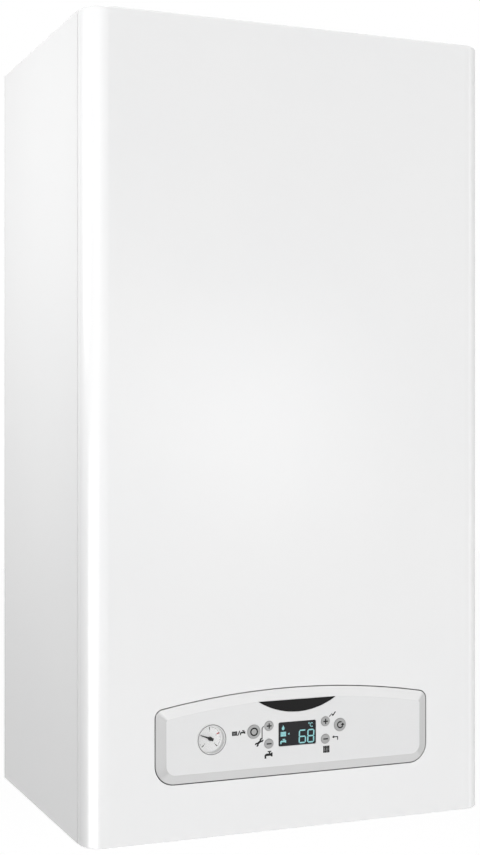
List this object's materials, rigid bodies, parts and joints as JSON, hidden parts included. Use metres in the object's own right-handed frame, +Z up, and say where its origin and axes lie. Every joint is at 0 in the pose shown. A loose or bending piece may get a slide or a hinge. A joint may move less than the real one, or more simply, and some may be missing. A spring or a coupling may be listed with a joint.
{
  "type": "wall-hung gas boiler",
  "caption": "White wall-hung gas boiler with a raised control panel, pressure gauge and lit display, a cover that pulls off, and its burner, fan, exchangers, pump and valves inside.",
  "frame": {"origin": "on the wall plane, midway between the two hanging holes of the back frame", "axes": "+Z up, +Y into the wall, +X to the viewer's right; the front faces -Y"},
  "size_m": [0.4, 0.3059, 0.788],
  "materials": {
    "white_enamel": "satin white enamel",
    "galvanised_sheet": "galvanised sheet",
    "aluminised_sheet": "aluminised sheet",
    "stainless_steel": "stainless steel",
    "zinc_plated_steel": "zinc plated steel",
    "cast_aluminium": "cast aluminium",
    "copper": "drawn copper",
    "brass": "forged brass",
    "yellow_gas_pipe": "yellow painted steel tube",
    "cast_iron": "painted cast iron",
    "black_motor": "black painted motor",
    "vessel_red": "red painted steel",
    "fascia_plastic": "light grey moulded plastic",
    "button_plastic": "light grey moulded plastic",
    "box_plastic": "grey moulded plastic",
    "black_plastic": "black moulded plastic",
    "red_plastic": "red moulded plastic",
    "gloss_black": "glossy black plastic",
    "display_glass": "dark display window",
    "gauge_plastic": "light grey plastic",
    "clear_glass": "clear glass",
    "circuit_green": "green circuit board",
    "ceramic_white": "ceramic",
    "fibre_board": "pressed ceramic fibre",
    "seal_foam": "black seal",
    "silicone": "silicone hose"
  },
  "bodies": {
    "case": {"left_side_panel": "white_enamel", "right_side_panel": "white_enamel", "top_panel": "white_enamel", "back_frame": "galvanised_sheet", "bottom_plate": "galvanised_sheet", "hinge_brackets": "galvanised_sheet", "chamber_box": "galvanised_sheet", "burner_tray": "galvanised_sheet", "firebox": "aluminised_sheet", "flue_hood": "aluminised_sheet", "fan_housing": "aluminised_sheet", "plate_exchanger": "stainless_steel", "burner_bars": "stainless_steel", "cover_screws": "zinc_plated_steel", "gas_manifold": "zinc_plated_steel", "gas_valve": "cast_aluminium", "flue_socket": "cast_aluminium", "flue_collar": "cast_aluminium", "exchanger_core": "copper", "exchanger_tubes": "copper", "heating_pipes": "copper", "flow_block": "brass", "return_block": "brass", "relief_valve": "brass", "air_vent": "brass", "gas_pipes": "yellow_gas_pipe", "pump_volute": "cast_iron", "pump_motor": "black_motor", "fan_motor": "black_motor", "expansion_vessel": "vessel_red", "diverter_motor": "box_plastic", "pressure_switch": "box_plastic", "gas_coils": "black_plastic", "electrodes": "ceramic_white", "insulation_boards": "fibre_board", "cover_seal": "seal_foam", "lid_gasket": "seal_foam", "sensing_hoses": "silicone"},
    "control_panel": {"control_fascia": "fascia_plastic", "control_box": "box_plastic", "control_box_cover": "box_plastic", "circuit_boards": "circuit_green", "display_window": "display_glass", "badge_plate": "gloss_black", "gauge_case": "gauge_plastic", "gauge_glass": "clear_glass"},
    "chamber_lid": {"chamber_lid": "galvanised_sheet", "sight_glass": "clear_glass"},
    "front_cover": {"front_cover": "white_enamel"},
    "gauge_needle": {"gauge_needle": "black_plastic"},
    "fan_wheel": {"fan_wheel": "cast_aluminium"},
    "pump_wheel": {"pump_wheel": "black_plastic"},
    "relief_knob": {"relief_knob": "red_plastic"},
    "fill_knob": {"fill_knob": "black_plastic"},
    "power_button": {"power_button": "button_plastic"},
    "reset_button": {"reset_button": "button_plastic"},
    "water_plus_button": {"water_plus_button": "button_plastic"},
    "water_minus_button": {"water_minus_button": "button_plastic"},
    "heating_plus_button": {"heating_plus_button": "button_plastic"},
    "heating_minus_button": {"heating_minus_button": "button_plastic"}
  },
  "joints": [
    {"name": "cover_slide", "type": "slide", "parent": "case", "child": "front_cover", "axis": [0, -1, 0], "range_m": [0, 0.35]},
    {"name": "panel_tilt", "type": "hinge", "parent": "case", "child": "control_panel", "pos_m": [0, -0.27, -0.64], "axis": [1, 0, 0], "range_deg": [0, 75]},
    {"name": "lid_slide", "type": "slide", "parent": "case", "child": "chamber_lid", "axis": [0, -1, 0], "range_m": [0, 0.17]},
    {"name": "needle_swing", "type": "hinge", "parent": "control_panel", "child": "gauge_needle", "pos_m": [-0.0843, -0.301, -0.601], "axis": [0, -1, 0], "range_deg": [-202.5, 67.5], "stiffness_Nm_per_rad": 0.0005},
    {"name": "fan_spin", "type": "hinge", "parent": "case", "child": "fan_wheel", "pos_m": [-0.045, -0.155, -0.07], "axis": [0, -1, 0], "continuous": true},
    {"name": "pump_spin", "type": "hinge", "parent": "case", "child": "pump_wheel", "pos_m": [0.128, -0.09, -0.534], "axis": [0, -1, 0], "continuous": true},
    {"name": "relief_turn", "type": "hinge", "parent": "case", "child": "relief_knob", "pos_m": [-0.148, -0.16, -0.624], "axis": [0, -1, 0], "range_deg": [0, 90]},
    {"name": "fill_turn", "type": "hinge", "parent": "case", "child": "fill_knob", "pos_m": [0.0975, -0.09, -0.705], "axis": [0, 0, -1], "range_deg": [0, 360]},
    {"name": "power_press", "type": "slide", "parent": "control_panel", "child": "power_button", "axis": [0, 1, 0], "range_m": [0, 0.0012], "stiffness_N_per_m": 400},
    {"name": "reset_press", "type": "slide", "parent": "control_panel", "child": "reset_button", "axis": [0, 1, 0], "range_m": [0, 0.0012], "stiffness_N_per_m": 400},
    {"name": "water_plus_press", "type": "slide", "parent": "control_panel", "child": "water_plus_button", "axis": [0, 1, 0], "range_m": [0, 0.0012], "stiffness_N_per_m": 400},
    {"name": "water_minus_press", "type": "slide", "parent": "control_panel", "child": "water_minus_button", "axis": [0, 1, 0], "range_m": [0, 0.0012], "stiffness_N_per_m": 400},
    {"name": "heating_plus_press", "type": "slide", "parent": "control_panel", "child": "heating_plus_button", "axis": [0, 1, 0], "range_m": [0, 0.0012], "stiffness_N_per_m": 400},
    {"name": "heating_minus_press", "type": "slide", "parent": "control_panel", "child": "heating_minus_button", "axis": [0, 1, 0], "range_m": [0, 0.0012], "stiffness_N_per_m": 400}
  ],
  "couplings": [
    {"joint": "panel_tilt", "follows": "cover_slide", "rad_per_m": 3.739},
    {"joint": "lid_slide", "follows": "cover_slide", "ratio": 0.485}
  ]
}
